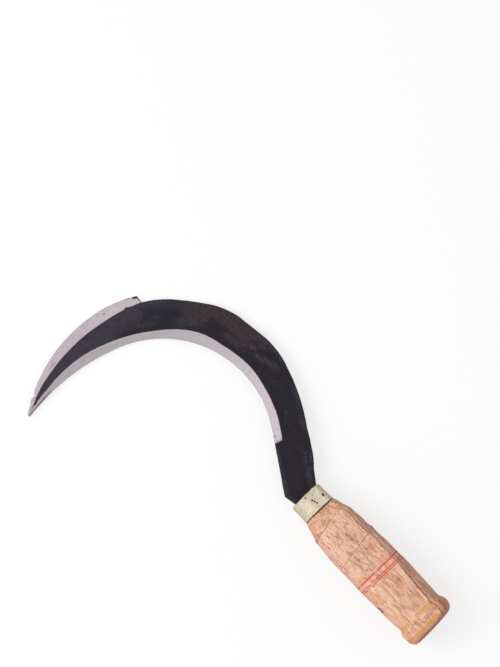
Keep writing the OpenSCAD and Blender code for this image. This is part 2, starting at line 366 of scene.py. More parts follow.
class Finish(Nodes):
    """A material, with textures in the coordinates and marks kept at its mesh's points."""

    def __init__(self, name, **plain):
        self.material = bpy.data.materials.new(name)
        super().__init__(self.material)
        self.shader = self.tree.nodes["Principled BSDF"]
        self.colour = None
        self.set(**plain)

    def set(self, **sockets):
        """Sets or links inputs of the material's shader."""
        for socket, value in sockets.items():
            self.put(self.shader.inputs[socket.replace("_", " ")], value)
        return self.material

    def mark(self, name):
        return self.node("ShaderNodeAttribute", attribute_name=name).outputs["Fac"]

    def place(self, scale=(1, 1, 1), turn=(0, 0, 0), name="place"):
        """A place kept at the mesh's points, stretched and turned for a texture."""
        kept = self.node("ShaderNodeAttribute", attribute_name=name).outputs["Vector"]
        return self.node("ShaderNodeMapping", {"Vector": kept, "Scale": scale, "Rotation": turn}).outputs[0]

    def noise(self, at, scale=1, detail=3, rough=0.5):
        inputs = {"Vector": at, "Scale": scale, "Detail": detail, "Roughness": rough}
        return self.node("ShaderNodeTexNoise", inputs).outputs["Fac"]

    def cells(self, at, scale):
        return self.node("ShaderNodeTexVoronoi", {"Vector": at, "Scale": scale}).outputs["Distance"]

    def step(self, value, low, high, to_low=0, to_high=1):
        """to_low below low, to_high above high, and smooth between them."""
        inputs = {"Value": value, "From Min": low, "From Max": high, "To Min": to_low, "To Max": to_high}
        return self.node("ShaderNodeMapRange", inputs, interpolation_type="SMOOTHSTEP").outputs[0]

    def mix(self, share, a, b):
        """Colour a, with a share of colour b over it."""
        inputs = {"Factor": share, 6: a, 7: b}
        return self.node("ShaderNodeMix", inputs, data_type="RGBA", clamp_factor=True).outputs[2]

    def coat(self, share, paint):
        """Lays a share of a colour over the colour so far."""
        self.colour = self.mix(share, self.colour, paint)

    def bump(self, height, strength, distance):
        """Lets the shader show small heights."""
        inputs = {"Height": height, "Strength": strength, "Distance": distance}
        self.set(Normal=self.node("ShaderNodeBump", inputs).outputs[0])


def steel_finish():
    """Black forge scale with rust, and steel ground bright where the mark "ground" is above 0."""
    f = Finish("forged_steel", Specular_IOR_Level=0.16)
    at = f.place()
    fine = f.noise(at, 1.6, 4)
    grit = f.noise(at, 0.8, 3, 0.75)
    other_grit = f.noise(f.place((0.95, 0.95, 0.95), (0, 0, 1.1)), 1, 3, 0.75)
    bare = f.mark("bare")
    rust = f.mark("rust")
    spot = f.mark("spot")

    # the scale: black, slate blue towards the point, mottled grey where it is worn
    patches = f.step(f.noise(at, 0.3, 4, 0.6), 0.4, 0.62)
    black = f.mix(patches, (0.012, 0.0105, 0.016), (0.0165, 0.014, 0.0205))
    patches = f.step(f.noise(at, 0.25, 4, 0.6), 0.35, 0.65)
    slate = f.mix(patches, (0.031, 0.027, 0.042), (0.041, 0.036, 0.054))
    f.colour = f.mix(f.mark("slate"), black, slate)
    haze = f.mix(0.6, f.colour, (0.042, 0.037, 0.053))
    f.coat(f.step(bare, 0.1, 0.9, 0, 0.6), haze)
    wear_and_sheen = f.times(f.step(f.plus(grit, f.times(bare, 0.13)), 0.6, 0.67), f.step(bare, 0.08, 0.35))
    f.coat(f.times(wear_and_sheen, 0.8), (0.052, 0.043, 0.055))
    flecks = f.step(f.plus(other_grit, f.times(bare, 0.08)), 0.635, 0.68, 0, 0.7)
    f.coat(f.times(flecks, f.step(bare, 0.15, 0.45)), (0.074, 0.067, 0.09))

    # the rust: a grey-brown bloom with grains of red rust, worn grey specks and black pits
    bloom = f.step(rust, 0.05, 0.55)
    f.coat(f.times(bloom, 0.8), (0.043, 0.033, 0.039))
    f.coat(f.times(bloom, f.step(other_grit, 0.54, 0.61, 0, 0.75)), (0.088, 0.076, 0.086))
    grains = f.step(f.plus(f.times(rust, 0.17), grit), 0.6, 0.66, 0, 0.95)
    grains = f.times(grains, f.step(rust, 0.15, 0.4))
    grains = f.times(grains, f.step(f.noise(at, 0.16, 3), 0.4, 0.58, 0.3, 1))
    red = f.mix(f.step(f.noise(at, 0.45, 4, 0.75), 0.48, 0.62), (0.062, 0.02, 0.018), (0.18, 0.043, 0.024))
    f.coat(grains, red)
    pits = f.step(f.noise(f.place((0.9, 0.9, 0.9), (0, 0, 2)), 1, 2, 0.7), 0.54, 0.58, 0, 0.95)
    f.coat(f.times(bloom, pits), (0.009, 0.007, 0.01))
    f.coat(spot, (0.003, 0.0025, 0.004))

    # the ground faces: fine slanting scratches, dark and rusty specks
    grain = f.noise(f.place((0.35, 2.6, 1), (0, 0, 0.6), "along"), 1, 4, 0.7)
    scale = f.colour
    f.colour = f.mix(f.step(grain, 0.35, 0.68), (0.405, 0.358, 0.388), (0.515, 0.458, 0.496))
    fresh = f.times(f.mark("fresh"), f.step(grain, 0.3, 0.6, 0.45, 0.9))
    f.coat(fresh, (0.6, 0.535, 0.565))
    f.coat(f.step(f.noise(at, 0.22, 3), 0.4, 0.65, 0, 0.3), (0.43, 0.38, 0.38))
    f.coat(f.step(f.mark("edge"), 0.3, 0.9, 0, 0.45), (0.3, 0.18, 0.14))
    specks = f.times(f.step(f.cells(at, 0.24), 0.115, 0.06), f.step(f.noise(at, 0.07, 2), 0.44, 0.54))
    f.coat(f.times(specks, 0.8), (0.1, 0.07, 0.055))
    f.coat(f.times(spot, f.step(fine, 0.3, 0.5)), (0.08, 0.05, 0.045))

    # their border: a ragged line, stained orange in places
    depth = f.plus(f.mark("ground"), f.times(f.plus(fine, -0.5), 0.35))
    ground = f.step(depth, -0.06, 0.1)
    line = f.times(f.step(depth, -0.3, -0.05), f.step(depth, 0.36, 0.08))
    line = f.times(line, f.step(f.noise(at, 0.16, 2), 0.4, 0.62, 0.1, 0.65))
    f.colour = f.mix(ground, scale, f.colour)
    f.coat(line, (0.26, 0.14, 0.09))

    rough = f.plus(f.plus(0.46, f.times(f.noise(at, 0.9, 3), 0.2)), f.times(ground, -0.04))
    forged = f.times(f.noise(at, 1.1, 5, 0.7), f.plus(1, f.times(ground, -0.85)))
    f.bump(f.plus(forged, f.times(grain, 0.08)), 0.35, 0.0002)
    return f.set(Base_Color=f.colour, Metallic=f.times(ground, 0.35), Roughness=rough)


def brass_finish():
    """Pale worn brass with a fine grain, dark specks and pits, a stained rim, and painted light and shade."""
    f = Finish("worn_brass", Specular_IOR_Level=0.4)
    at = f.place()
    patches = f.step(f.noise(at, 0.35, 4, 0.6), 0.36, 0.66)
    f.colour = f.mix(patches, (0.715, 0.62, 0.46), (0.79, 0.695, 0.53))
    fine = f.noise(f.place((1.3, 0.8, 1.3)), 1, 4, 0.8)
    f.coat(f.step(fine, 0.36, 0.62, 0.45, 0), (0.54, 0.45, 0.32))
    f.coat(f.step(fine, 0.55, 0.72, 0, 0.5), (0.86, 0.79, 0.64))
    # painted light: brighter sides and bands, for how the lamp falls on the round tube
    f.coat(f.mark("wear_and_sheen"), (1, 0.9, 0.7))
    # painted shade: darker along the top and at both sides
    f.coat(f.mark("painted_shade"), (0.4, 0.31, 0.18))
    scuff = f.times(f.mark("scuff"), f.step(f.noise(at, 0.9, 4, 0.7), 0.42, 0.54))
    f.coat(scuff, (0.43, 0.4, 0.52))
    speckle = f.plus(f.noise(at, 1.3, 3, 0.7), f.times(f.mark("specks"), 0.13))
    f.coat(f.step(speckle, 0.66, 0.72, 0, 0.85), (0.16, 0.1, 0.085))
    pit = f.step(f.mark("pit"), 0.25, 0.6)
    f.coat(pit, (0.04, 0.018, 0.018))
    f.coat(f.step(f.mark("rim"), 0.4, 0.9, 0, 0.8), (0.3, 0.1, 0.06))
    f.bump(f.plus(fine, f.times(pit, -0.6)), 0.25, 0.0002)
    rough = f.plus(0.5, f.times(f.noise(at, 0.5, 3), 0.2))
    return f.set(Base_Color=f.colour, Metallic=f.plus(0.2, f.times(pit, -0.2)), Roughness=rough)


def iron_finish():
    """Dark rusty iron."""
    f = Finish("rusty_iron", Specular_IOR_Level=0.2)
    at = f.place()
    rust = f.mix(f.step(f.noise(at, 1.2, 4), 0.47, 0.62), (0.008, 0.006, 0.008), (0.13, 0.026, 0.018))
    f.bump(f.noise(at, 2.5, 4), 0.5, 0.0002)
    return f.set(Base_Color=rust, Roughness=f.plus(0.55, f.times(f.noise(at, 1, 2), 0.3)))


# painted lines round the handle: place along it, half width, how much is worn off, and colour
RED = (0.8, 0.07, 0.07)
YELLOW = (0.74, 0.36, 0.07)
PAINTED = [(59.9, 0.66, 0.36, RED), (55.6, 0.5, 0.37, RED), (53.9, 0.48, 0.38, RED),
           (15, 0.95, 0.47, YELLOW), (12.6, 0.9, 0.52, YELLOW), (4.2, 1.1, 0.465, YELLOW)]
# the line scribed round the neck: its place on the axis, and how much it rises to the right
SCRIBE_AT = 82.4
SCRIBE_SLANT = 0.16


def wood_finish():
    """Bare old wood: long streaks, short dark pores, knots, dirt in the grooves, and worn painted lines."""
    f = Finish("old_wood", Specular_IOR_Level=0.2)
    at = f.place()
    spot = f.node("ShaderNodeSeparateXYZ", {0: at}).outputs
    mottled = f.noise(f.place((0.34, 0.13, 0.34), name="fibre"), 1, 4, 0.7)
    strands = f.noise(f.place((1.15, 0.045, 1.15), name="fibre"), 1, 3, 0.65)
    plain = f.step(spot[0], -6, -15, 1, 0.45)
    dark = f.noise(f.place((1.2, 0.13, 1.2), (0.3, 0, 0.3), "fibre"), 1, 3, 0.65)
    pores = f.noise(f.place((1.5, 0.42, 1.5), name="fibre"), 1, 2, 0.6)
    patchy = f.noise(f.place((0.1, 0.05, 0.1)), 1, 3, 0.6)

    f.colour = f.mix(f.step(mottled, 0.38, 0.62), (0.87, 0.466, 0.308), (0.985, 0.605, 0.428))
    f.coat(f.times(f.mark("pale"), 0.5), (0.96, 0.63, 0.48))
    f.coat(f.times(plain, f.step(strands, 0.51, 0.61, 0, 0.75)), (1, 0.74, 0.575))
    f.coat(f.times(plain, f.step(strands, 0.48, 0.39, 0, 0.38)), (0.66, 0.305, 0.175))
    # painted shade on the turned right side, and older, darker wood at the butt and pommel
    f.coat(f.step(f.mark("age_and_shade"), 0.05, 0.95, 0, 0.9), (0.86, 0.288, 0.15))
    tan = f.times(f.mark("tan"), f.step(mottled, 0.4, 0.56, 1, 0.2))
    f.coat(tan, (0.6, 0.265, 0.125))
    streaks = f.plus(dark, f.times(f.plus(patchy, -0.5), 0.3))
    f.coat(f.step(streaks, 0.53, 0.6, 0, 0.75), (0.52, 0.205, 0.11))
    f.coat(f.step(pores, 0.6, 0.67, 0, 0.7), (0.4, 0.128, 0.074))
    # painted highlight on the lip of the neck's ledge
    lip_highlight = f.times(f.mark("lip_highlight"), f.step(f.noise(at, 0.5, 3), 0.38, 0.58, 0.25, 0.75))
    f.coat(lip_highlight, (1, 0.74, 0.6))
    # stains, and a painted shadow at the foot of the neck's ledge
    stains_and_shade = f.times(f.mark("stains_and_shade"), f.step(f.noise(at, 0.8, 4, 0.75), 0.34, 0.54))
    f.coat(stains_and_shade, (0.255, 0.098, 0.08))

    # splits and grooves beside the planed front's corner: places across it and along
    strip = f.node("ShaderNodeSeparateXYZ", {0: f.place(name="corner")}).outputs
    wander = f.times(f.plus(f.noise(f.place((0, 0.11, 0), name="corner"), 1, 2), -0.5), 1.8)
    split = f.step(f.math("ABSOLUTE", f.plus(strip[0], wander)), 0.5, 0.2)
    split = f.times(split, f.mark("split"))
    lines = f.noise(f.place((0.62, 0.022, 1), name="corner"), 1, 2, 0.5)
    lines = f.step(f.math("ABSOLUTE", f.plus(lines, -0.5)), 0.034, 0.008)
    lines = f.times(lines, f.mark("grooved"))
    furrow = f.math("MAXIMUM", split, lines)
    f.coat(f.times(lines, 0.85), (0.235, 0.066, 0.042))
    f.coat(f.times(split, 0.9), (0.095, 0.034, 0.028))
    # painted shade in the gap at the ferrule and under the butt's rim, and the knot's dark rings
    f.coat(f.step(f.mark("knot_and_shade"), 0.08, 0.7), (0.05, 0.022, 0.022))

    # the scribed line, and the painted lines, both straight as seen from above
    along = f.plus(spot[1], f.times(spot[2], LEAN_Y))
    wobble = f.times(f.plus(f.noise(f.place((0.15, 0, 0.15)), 1, 2), -0.5), 0.5)
    askew = f.plus(along, f.plus(f.times(spot[0], -SCRIBE_SLANT), f.times(wobble, 0.8)))
    scribe = f.step(f.math("ABSOLUTE", f.plus(askew, -SCRIBE_AT)), 0.36, 0.1)
    scribe = f.times(f.times(scribe, f.mark("scribed")), f.step(f.noise(at, 0.7, 3), 0.36, 0.56, 0.65, 0.95))
    f.coat(scribe, (0.4, 0.14, 0.048))
    chipped = f.noise(f.place((1.1, 0.7, 1.1)), 1, 4, 0.7)
    for middle, half, wear_and_sheen, paint in PAINTED:
        off = f.math("ABSOLUTE", f.plus(f.plus(along, wobble), -middle))
        edge = f.plus(half, f.times(f.plus(chipped, -0.5), 0.7))
        line = f.step(f.math("SUBTRACT", edge, off), -0.1, 0.16)
        line = f.times(line, f.step(chipped, wear_and_sheen - 0.06, wear_and_sheen + 0.03, 0, 0.9))
        f.coat(f.times(line, f.mark("painted")), paint)
    f.coat(f.step(f.mark("dot"), 0.35, 0.65, 0, 0.9), (0.6, 0.06, 0.045))

    grain = f.plus(f.times(strands, 0.7), f.times(dark, -0.8))
    f.bump(f.plus(grain, f.times(f.math("MAXIMUM", furrow, scribe), -0.8)), 0.35, 0.0004)
    return f.set(Base_Color=f.colour, Roughness=f.plus(0.55, f.times(f.noise(at, 0.5, 3), 0.2)))


# The blade

# rust on the black flats: place along the inner edge, place across, half length, half width, strength
RUST = [
    (144, 19.3, 2.4, 2, 1.3), (146, 22.5, 6, 6, 0.6), (135, 26, 7, 4, 0.66), (130, 24.5, 6, 4.5, 0.74),
    (123, 23, 6, 4.5, 0.76), (116, 25.5, 6, 3, 0.76), (111, 27.5, 5, 2.2, 0.62), (126, 15, 3, 1.6, 0.6),
    (115, 16.8, 3.2, 1.8, 0.8), (109, 19, 2.4, 2, 0.95), (103, 16.6, 1.8, 1.2, 0.8), (106, 29.3, 3, 1, 0.6),
    (93, 28.2, 1.8, 1, 0.85), (130, 29.3, 16, 1.6, 0.55), (150, 26.5, 6, 3.5, 0.4), (154, 22, 5, 7, 0.42),
    (144, 29.5, 12, 2.5, 0.5), (122, 30, 12, 2, 0.45), (160, 27, 5, 2.5, 0.3), (117, 20, 6, 3, 0.45),
    (105, 24, 4, 3, 0.35), (48, 25.6, 1.5, 0.8, 0.7)
]
# where the scale is worn to paler, bluish grey steel
BARE = [
    (101, 16.5, 5, 2.4, 0.75), (95, 19.5, 6, 2.2, 0.85), (91, 22.3, 4, 1.8, 0.75), (84, 14.4, 4, 1.5, 0.5),
    (62, 13.2, 3, 1.3, 0.65), (58, 11.5, 3, 1.2, 0.5), (69, 24.8, 11, 2.4, 0.6), (54, 23.5, 5, 2.8, 0.75),
    (50, 23.5, 3, 2.2, 0.65), (74, 25.5, 6, 1.5, 0.6), (33.8, 17, 0.7, 0.8, 1.3), (32.6, 18.4, 0.6, 0.8, 1.3),
    (31.2, 20.1, 0.6, 0.8, 1.1), (28.6, 20, 0.8, 0.5, 1.3), (27.2, 20.8, 0.8, 0.5, 1.3),
    (25.6, 21.6, 0.8, 0.5, 1.1), (18, 21.7, 9, 2.4, 0.65), (19, 26.5, 7, 1.8, 0.8), (4, 24.5, 6, 3.5, 0.75),
    (26, 1.3, 16, 1.4, 0.85), (8, 1.8, 11, 2.4, 0.9), (150, 15.5, 6, 5, 0.85), (157, 13, 6, 5, 0.7),
    (120, 14, 12, 3.5, 0.6), (116, 20, 10, 5, 0.5), (142, 27, 22, 3, 0.75), (104, 28, 10, 2, 0.7),
    (180, 11.5, 12, 4, 0.5), (174, 16.5, 6, 2.4, 0.5), (186, 16, 5, 4, 0.5), (156, 24, 6, 3, 0.6),
    (209, 15.4, 7, 0.9, 0.8), (226, 12.2, 9, 1.8, 0.85), (248, 10.1, 1, 0.8, 0.9), (232, 14.5, 8, 1.4, 0.6)
]
# the line on the flats beyond which the scale is slate blue, from the inner edge
SLATE_FROM = [(146, 40), (156, 32), (164, 29), (172, 25), (180, 21), (188, 14), (198, 9), (206, 4), (216, -4),
              (288, -6)]
# scale that the grinding left at the second edge's start, and at the point
LEFT_SCALE = [(184.4, 33.3, 2, 1.8, 1), (188.2, 33.5, 2.4, 0.9, 1), (182.7, 32.2, 0.5, 1, 1),
              (182.2, 30.6, 0.5, 0.9, 1), (181.6, 29.3, 0.4, 0.7, 0.9), (190, 26.2, 1.6, 0.7, 0.85),
              (278.6, 2.75, 1.2, 0.45, 1)]
# dark specks on the ground faces
DARK_SPOTS = [(34.5, 18.2, 0.7, 0.6, 1), (26.5, 20, 0.7, 0.6, 1), (33, 12.2, 0.7, 0.5, 0.9),
              (47.8, 1.1, 0.8, 0.7, 1), (203.3, 27.5, 0.7, 0.6, 1), (52, 4.6, 0.5, 0.5, 0.6),
              (207.5, 28.2, 0.5, 0.4, 0.8), (215, 28, 0.5, 0.4, 0.7), (229.5, 5.2, 0.5, 0.4, 0.8),
              (232, 4, 0.4, 0.4, 0.8), (215, 4, 0.5, 0.5, 0.8), (244.5, 2.4, 0.6, 0.5, 0.9),
              (250, 14.7, 2.2, 0.8, 0.45), (199.5, 2, 0.4, 0.4, 0.7), (222, 5, 0.4, 0.4, 0.7),
              (237, 21, 0.4, 0.4, 0.6)]
# where the back is nicked or stands out near the point: place along, half length, how far it stands out
NICKS = [(274.7, 1.3, -1.4), (279, 1.6, 0.45), (286.5, 2.8, 0.65)]

# rows of points along the blade, closer together where a ground face starts and near the point, and columns
# on each ground face, on the flat, on each thin edge and on the underside
BLADE_ROWS = [(EDGE_START, 36, 0.5), (36, 46, 0.25), (46, 176, 0.45), (176, 188, 0.2), (188, 268, 0.45),
              (268, EDGE_END, 0.25)]
TANG_ROWS = 24
FACE_COLUMNS = 16
FLAT_COLUMNS = 50
WALL_COLUMNS = 3
UNDER_COLUMNS = 22
# the forged surface's rounded rim, and how far above the steel a ground face lies before its start
RIM = 1.1
NOT_GROUND = 9


def make_blade():
    """The forged blade with its hammered flats, two ground faces, stepped notch, root and tang."""
    row = stepped(*BLADE_ROWS)[:, None]
    x, y = edge_at(row)
    cx, cy = across(row)
    full = thickness(row)
    nick = sum(height * peak(row, at, half) for at, half, height in NICKS)
    uneven = 0.1 * noise(row / 5, 0 * row, 3) * (row < SECOND_START) + 0.05 * noise(row / 2.2, 0 * row, 5)
    edge_in = 0.07 * noise(row / 3, 0 * row, 8) + 0.05 * noise(row / 11, 0 * row, 9)
    wide = width(row) + nick + uneven
    g = inner_grind(row)
    h = np.maximum(outer_grind(row) + nick, LEAST_GRIND)

    # columns on the upper side follow the ground faces, or the rims where nothing is ground
    to_inner = RIM + (g - RIM) * ramp(row, GRIND_START - 8, GRIND_START - 1)
    to_outer = RIM + (h - RIM) * ramp(row, SECOND_START - 8, SECOND_START)
    part_face = np.linspace(0, 1, FACE_COLUMNS + 1)[None, :]
    part_flat = np.linspace(0, 1, FLAT_COLUMNS + 1)[None, :-1]
    v = np.hstack([to_inner * part_face[:, :-1], to_inner + (wide - to_inner - to_outer) * part_flat,
                   wide - to_outer + to_outer * part_face])
    from_rim = np.minimum(v, wide - v)

    # the forged surface: slow hammer marks, finer scale, and a rounded rim
    forged = full + 0.1 * noise(row / 11, v / 8, 1) + 0.05 * noise(row / 4.5, v / 4, 2)
    forged = forged + 0.02 * layered(row, v, 4)
    round_off = np.clip(1 - from_rim / RIM, 0, 1)
    forged = forged - RIM * (1 - np.sqrt(1 - round_off**2)) * 0.9

    # the two ground faces, which cut it
    ground_in = EDGE_T + (full - EDGE_T) * v / g
    ground_out = EDGE_T + (full - EDGE_T) * (wide - v) / h
    deep_in = ramp(row - GRIND_SLANT * v / g, GRIND_START - 0.2, GRIND_START + 1.4)
    deep_out = ramp(row, SECOND_START, SECOND_FULL)
    top = np.minimum(forged, ground_in + NOT_GROUND * (1 - deep_in))
    top = np.minimum(top, ground_out + NOT_GROUND * (1 - deep_out))
    top = np.maximum(top, EDGE_T * 0.6)

    # marks on the upper side
    inner_in = np.minimum(g - v, row - GRIND_START - GRIND_SLANT * v / g)
    inner_in = inner_in - 0.55 * ramp(row, 255, 268) * (1 - ramp(row, 277, 279))
    outer_in = np.minimum(v - (wide - h), row - SECOND_START - 0.15)
    ground = np.maximum(inner_in, outer_in) - 30 * np.clip(spots(row, v, LEFT_SCALE) - 0.4, 0, 1)
    rust = spots(row, v, RUST) + 0.3 * peak(v, wide, 0.8)
    bare = np.maximum(spots(row, v, BARE), 0.75 * peak(v, wide, 1.3) * ramp(row, 78, 95))
    slate = ramp(v - smooth_through(row, SLATE_FROM) + 3.5 * noise(row / 8, v / 4, 16), -8, 5)
    edge = peak(from_rim, 0, 0.45) * (0.5 + 0.9 * noise(row / 2.5, 0 * v, 18))
    dark_edge = 1.5 * peak(v + 0.05 * (row - 268), 0.95, 0.33) * ramp(row, 260, 270)
    spot = np.maximum(spots(row, v, DARK_SPOTS), dark_edge)
    fresh = ramp(v, 12, 20) * (0.9 - 0.75 * ramp(row, 192, 232))

    # the underside, and the thin edges between it and the upper side
    under_v = wide * np.linspace(1, 0, UNDER_COLUMNS + 1)[None, :]
    under = 0.1 + 0.09 * noise(row / 9, under_v / 7, 12) + 0.03 * layered(row / 2, under_v / 2, 14)
    under_off = np.clip(1 - np.minimum(under_v, wide - under_v) / 0.6, 0, 1)
    under = np.minimum(under + 0.35 * under_off**2, 0.5 * np.minimum(top[:, :1], top[:, -1:]))
    down = np.linspace(0, 1, WALL_COLUMNS + 1)[None, 1:-1]
    wall_out = top[:, -1:] + (under[:, :1] - top[:, -1:]) * down
    wall_in = under[:, -1:] + (top[:, :1] - under[:, -1:]) * down

    all_v = np.hstack([v, wide + 0 * wall_out, under_v, 0 * wall_in])
    all_z = np.hstack([top, wall_out, under, wall_in])
    all_v = all_v + edge_in * (1 - all_v / wide)
    rings = np.stack([x + all_v * cx, y + all_v * cy, UNDERSIDE + all_z], -1)

    def all_round(upper, edges=0, beneath=0):
        """A mark's values on the upper side, on both thin edges and on the underside."""
        return np.hstack([upper, edges + 0 * wall_out, beneath + 0 * under_v, edges + 0 * wall_in])

    under_rust = 0.32 + 0.3 * noise(row / 14, under_v / 12, 17)
    marks = {"ground": np.hstack([ground, np.minimum(ground[:, -1:], 0.3) + 0 * wall_out, -5 + 0 * under_v,
                                  np.minimum(ground[:, :1], 0.3) + 0 * wall_in]),
             "rust": all_round(rust, 0.25, under_rust), "bare": all_round(bare, 0.2, 0.3),
             "edge": all_round(edge, 0.5), "slate": all_round(slate, 0, 0.3), "spot": all_round(spot),
             "fresh": all_round(fresh), "along": np.stack([row + 0 * all_v, all_v, 0 * all_v], -1)}
    piece = ringed("blade_forged", *with_tang(rings, marks))
    dress(piece, "blade", steel_finish())


def with_tang(rings, marks):
    """The blade's rows and marks, with those of the tang and the root before them."""
    first = rings[0]
    share = (first[:, 0] - first[:, 0].min()) / np.ptp(first[:, 0]) - 0.5
    height = first[:, 2] - UNDERSIDE

    def row(y, w, t):
        """The first row's outline at another place, width and thickness."""
        return np.stack([share * w, np.full_like(share, y), (height / height.max() - 0.5) * t], -1)

    tang = [row(ROOT_Y - (ROOT_Y - TANG_END_Y) * (1 - k), TANG_END_W + (TANG_W - TANG_END_W) * k, TANG_T)
            for k in np.linspace(0, 1, TANG_ROWS)]
    root = row(ROOT_Y, ROOT_W, BLADE_T)
    root[:, 2] = first[:, 2]
    neck = [root + (first - root) * k for k in np.linspace(0, 1, TANG_ROWS)[:-1]]
    added = np.array([*tang, *neck])
    before = {name: np.repeat(values[:1], len(added), axis=0) for name, values in marks.items()}
    before["along"][:, :, 0] = added[:, :, 1] - HEEL[1]
    before["rust"] = np.maximum(before["rust"], 0.6 * peak(added[:, :, 1], MOUTH_Y + 0.1, 1.6))
    marks = {name: np.concatenate([before[name], values]) for name, values in marks.items()}
    return np.concatenate([added, rings]), marks


# The ferrule and its brad

# dents and pits in the ferrule: turn from the top towards +X in degrees, place along it, half sizes, depth
FERRULE_DENTS = [(-8, 136.2, 3, 1.2, 0.3), (-42, 134, 4, 2.5, 0.15), (28, 131, 3, 2.2, 0.12)]
FERRULE_PITS = [(3.7, 130.8, 0.75, 0.65, 1.3), (6.2, 129.1, 0.7, 0.6, 1.3), (9.4, 127, 0.65, 0.8, 1.2),
                (-7, 135.6, 0.6, 0.7, 0.8), (-10, 134.8, 0.5, 0.4, 0.7), (14, 135.6, 0.6, 0.4, 0.8),
                (16, 133.6, 0.4, 0.4, 0.75), (11, 132.6, 0.4, 0.6, 0.6), (17, 131.4, 0.4, 0.3, 0.5),
                (18.3, 134.2, 0.45, 0.5, 0.75), (28.8, 135.3, 0.8, 0.4, 0.75), (36.8, 135.6, 0.4, 0.7, 0.8),
                (27.4, 133.5, 0.35, 0.4, 0.7), (-2.5, 135.6, 0.4, 0.4, 0.7), (45.5, BRAD_Y, 1.45, 1.5, 1)]
# where its face is scuffed bluish
FERRULE_SCUFFS = [(-10, 136, 2.6, 1.2, 1), (-5, 134.4, 1.2, 0.8, 0.9), (-15, 134.2, 1.2, 0.7, 0.9),
                  (-10, 132, 0.5, 0.5, 0.8), (41, 130.9, 1.1, 0.6, 0.9), (25, 134.4, 1.6, 0.6, 0.7)]
FERRULE_COLUMNS = 300
# how far the tube starts from the handle's neck, and how far the hole's tool reaches past its wall
FERRULE_GAP = 0.1
THROUGH = 3


def around(angle, y, places):
    """Spots on the ferrule, with their turn in degrees."""
    return spots(MOUTH_R * angle, y, [(MOUTH_R * radians(turn), *rest_of) for turn, *rest_of in places])


def brad_tool(radius, low, high):
    """A cylinder along the brad's line, from one distance from the axis to another."""
    shape = bmesh.new()
    bmesh.ops.create_cone(shape, cap_ends=True, segments=40, radius1=radius, radius2=radius, depth=high - low)
    turn = Matrix.Rotation(BRAD_TURN, 3, "Y")
    for vertex in shape.verts:
        vertex.co = turn @ (vertex.co + Vector((0, 0, (low + high) / 2))) + Vector((0, BRAD_Y, 0))
        vertex.co = to_world(vertex.co)
    mesh = bpy.data.meshes.new("brad_tool")
    shape.to_mesh(mesh)
    shape.free()
    return in_scene("brad_tool", mesh)


def ferrule_radius(y):
    """The tube's outer radius, which falls towards its mouth."""
    return FERRULE_R + (MOUTH_R - FERRULE_R) * (y - HANDLE_LEN) / FERRULE_LEN


def make_ferrule():
    """The tube, dented and pitted outside, with soft rims and the brad's hole."""
    angle = np.linspace(-pi, pi, FERRULE_COLUMNS, endpoint=False)[None, :]
    half_wall = FERRULE_WALL / 2
    lip_start = MOUTH_Y - half_wall
    outside = stepped((HANDLE_LEN + FERRULE_GAP, lip_start, 0.33))
    bend = np.linspace(0, pi, 9)[1:-1]
    inside = stepped((0, 1, 0.1))
    lip_y = lip_start + half_wall * np.sin(bend)
    lip_r = ferrule_radius(MOUTH_Y) - half_wall + half_wall * np.cos(bend)
    inside_y = lip_start - (FERRULE_LEN - half_wall - FERRULE_GAP) * inside
    inside_r = ferrule_radius(MOUTH_Y - FERRULE_LEN * inside) - FERRULE_WALL
    y = np.concatenate([outside, lip_y, inside_y])[:, None]
    r = np.concatenate([ferrule_radius(outside), lip_r, inside_r])[:, None]
    # 1 outside and 0 inside, for what only shows outside
    skin = np.concatenate([np.ones(len(outside)), (1 + np.cos(bend)) / 2, np.zeros(len(inside))])[:, None]

    dents = around(angle, y, FERRULE_DENTS)
    pits = around(angle, y, FERRULE_PITS)
    beaten = 0.06 * noise(angle * 5 + 40, y / 3.5, 21) + 0.03 * noise(angle * 14 + 40, y / 1.2, 22)
    oval = 0.24 * np.sin(angle)**2 * (1 - ramp(y, HANDLE_LEN + 6, MOUTH_Y - 2))
    shape = 0.1 * np.sin(2 * angle + 1) + 0.06 * np.sin(3 * angle) - oval
    r = r + shape + skin * (beaten - dents - 0.35 * pits)
    y = y + 0 * angle + 0.12 * np.sin(3 * angle + 0.4) * ramp(y, MOUTH_Y - 4, MOUTH_Y)
    rings = np.stack([r * np.sin(angle), y, r * np.cos(angle)], -1)

    # stained at the mouth; painted shade along the top and at both sides, and painted light in bands between
    worn_rim = ramp(y, MOUTH_Y - 0.75, MOUTH_Y - 0.3) * (0.6 + 0.4 * noise(angle * 6 + 40, 0 * y, 23))
    painted_shade = 0.17 * peak(angle, 0, 0.17) + 0.4 * ramp(angle, 0.6, 1) + 0.4 * ramp(-angle, 0.95, 1.25)
    wear_and_sheen = 0.6 * ramp(-angle, 0.7, 1.4) + ramp(angle, 0.15, 0.8) * (1 - 0.6 * ramp(angle, 0.7, 1))
    wear_and_sheen = wear_and_sheen + 0.22 * peak(angle, -0.55, 0.22) + 0.1 * peak(angle, 0.5, 0.18)
    marks = {"pit": pits, "scuff": around(angle, y, FERRULE_SCUFFS), "rim": worn_rim,
             "specks": 0.82 * ramp(-angle, -0.1, 0.6) + 0 * y, "wear_and_sheen": wear_and_sheen + 0 * y,
             "painted_shade": painted_shade + 0 * y}
    piece = ringed("ferrule_worn", rings, marks, tube=True)
    cut(piece, brad_tool(BRAD_HEAD_R + BRAD_FIT, FERRULE_R - THROUGH, FERRULE_R + THROUGH))
    dress(piece, "ferrule", brass_finish())


